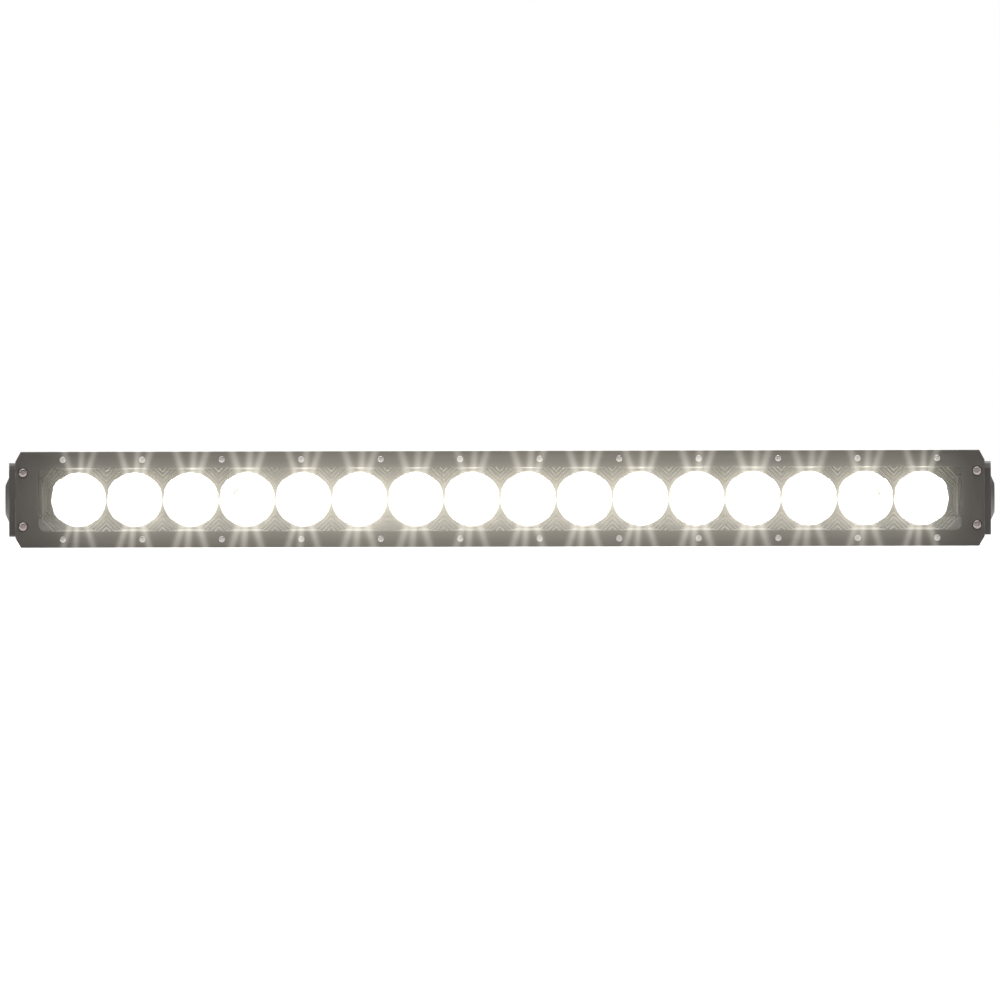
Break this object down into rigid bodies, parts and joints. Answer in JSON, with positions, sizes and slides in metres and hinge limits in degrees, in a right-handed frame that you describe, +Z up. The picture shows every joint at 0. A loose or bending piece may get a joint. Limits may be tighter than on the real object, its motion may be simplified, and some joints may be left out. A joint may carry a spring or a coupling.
{
  "type": "led light bar",
  "caption": "Straight single-row LED light bar with reflector cups behind one clear lens, screwed bezel, ribbed housing, end bosses and two tilting feet in a rear slot.",
  "frame": {"origin": "under the middle of the whole object, on the surface that the lower ribs, bezel and end caps stand on", "axes": "+X along the bar, -Y the way the light shines, +Y out of the back towards the feet, +Z up"},
  "size_m": [0.845, 0.151, 0.082],
  "materials": {
    "aluminium_black": "satin",
    "steel_black": "satin",
    "lens_clear": "gloss",
    "reflector_metallised": "polished",
    "silicone": "matte",
    "led_board": "matte",
    "driver_board": "satin",
    "phosphor": "satin",
    "stainless": "satin",
    "zinc": "satin",
    "nylon": "satin"
  },
  "bodies": {
    "bar": {"housing": "aluminium_black", "bezel": "aluminium_black", "lens": "lens_clear", "lens_gasket": "silicone", "driver_board": "driver_board", "board_lead": "silicone", "gland_body": "nylon", "gland_nut": "nylon", "gland_seal": "silicone", "vent": "nylon", "reflector_1": "reflector_metallised", "reflector_2": "reflector_metallised", "reflector_3": "reflector_metallised", "reflector_4": "reflector_metallised", "led_01": "phosphor", "led_02": "phosphor", "led_03": "phosphor", "led_04": "phosphor", "led_05": "phosphor", "led_06": "phosphor", "led_07": "phosphor", "led_08": "phosphor", "led_09": "phosphor", "led_10": "phosphor", "led_11": "phosphor", "led_12": "phosphor", "led_13": "phosphor", "led_14": "phosphor", "led_15": "phosphor", "led_16": "phosphor", "led_board_right": "led_board", "end_cap_right": "aluminium_black", "end_gasket_right": "silicone", "cap_screw_1_right": "stainless", "cap_screw_2_right": "stainless", "cap_screw_3_right": "stainless", "cap_screw_4_right": "stainless", "bezel_end_screw_top_right": "stainless", "bezel_end_screw_bottom_right": "stainless", "led_board_left": "led_board", "end_cap_left": "aluminium_black", "end_gasket_left": "silicone", "cap_screw_1_left": "stainless", "cap_screw_2_left": "stainless", "cap_screw_3_left": "stainless", "cap_screw_4_left": "stainless", "bezel_end_screw_top_left": "stainless", "bezel_end_screw_bottom_left": "stainless"},
    "right_slider": {"saddle_right": "steel_black", "t_bolt_right": "zinc", "clamp_nut_right": "zinc", "pivot_bolt_right": "stainless", "pivot_nut_right": "stainless"},
    "right_foot": {"foot_right": "steel_black"},
    "left_slider": {"saddle_left": "steel_black", "t_bolt_left": "zinc", "clamp_nut_left": "zinc", "pivot_bolt_left": "stainless", "pivot_nut_left": "stainless"},
    "left_foot": {"foot_left": "steel_black"}
  },
  "joints": [
    {"name": "right_slide", "type": "slide", "parent": "bar", "child": "right_slider", "axis": [1, 0, 0], "range_m": [-0.17, 0.155]},
    {"name": "right_tilt", "type": "hinge", "parent": "right_slider", "child": "right_foot", "pos_m": [0.23, 0.02545, 0.041], "axis": [1, 0, 0], "range_deg": [-90, 90]},
    {"name": "left_slide", "type": "slide", "parent": "bar", "child": "left_slider", "axis": [-1, 0, 0], "range_m": [-0.17, 0.155]},
    {"name": "left_tilt", "type": "hinge", "parent": "left_slider", "child": "left_foot", "pos_m": [-0.23, 0.02545, 0.041], "axis": [1, 0, 0], "range_deg": [-90, 90]}
  ]
}
